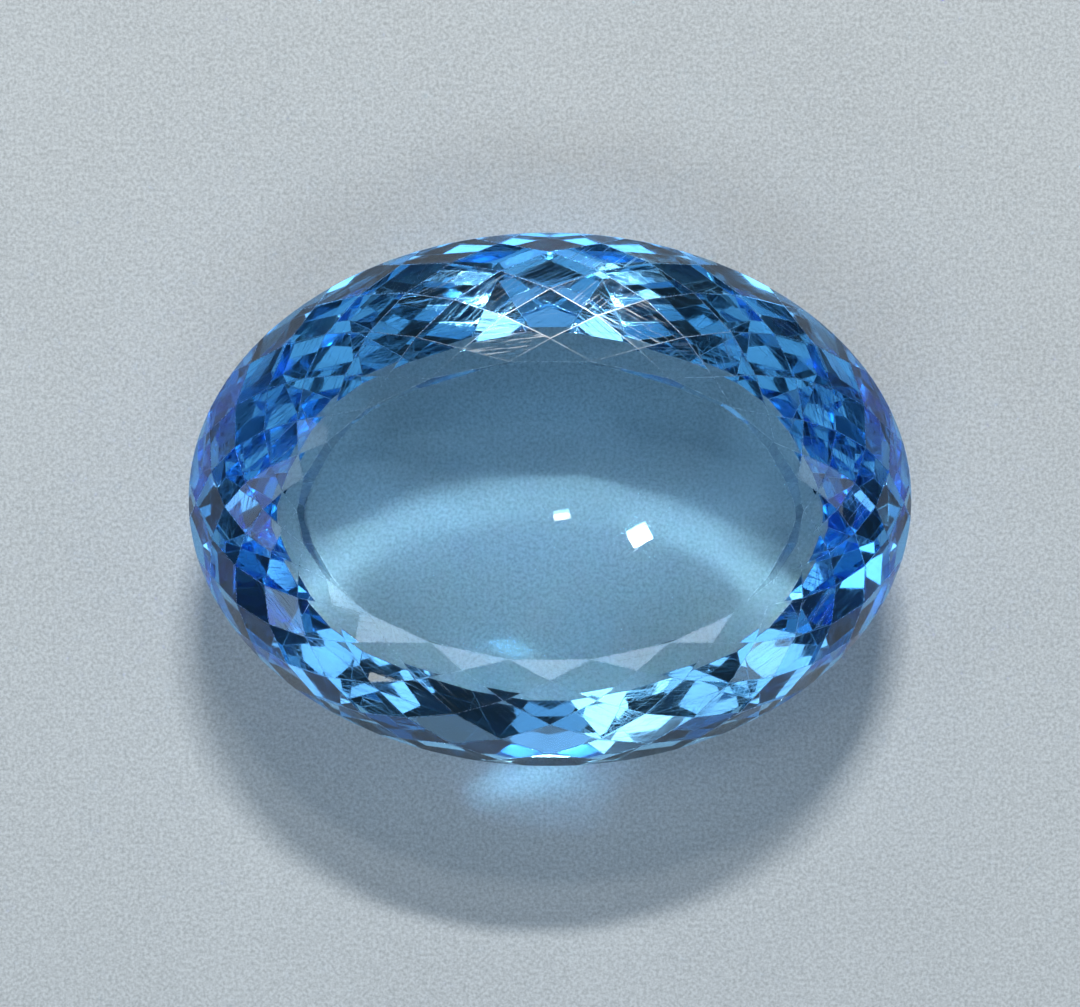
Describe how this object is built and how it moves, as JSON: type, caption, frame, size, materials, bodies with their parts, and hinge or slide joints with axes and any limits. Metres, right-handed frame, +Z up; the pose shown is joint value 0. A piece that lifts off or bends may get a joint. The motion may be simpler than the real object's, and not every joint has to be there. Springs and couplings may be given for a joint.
{
  "type": "cut and polished oval topaz gemstone",
  "caption": "Clear blue oval gemstone of cut topaz, with lozenge facets round a wide flat table, lying on its flat base.",
  "frame": {"origin": "on the surface the stone rests on, under the middle of the oval", "axes": "+X along the long axis of the oval, +Z up, out of the table, square to both flats"},
  "size_m": [0.036, 0.0266, 0.0109],
  "materials": {
    "blue_topaz": "polished"
  },
  "bodies": {
    "root": {"cut_topaz": "blue_topaz"}
  },
  "joints": []
}
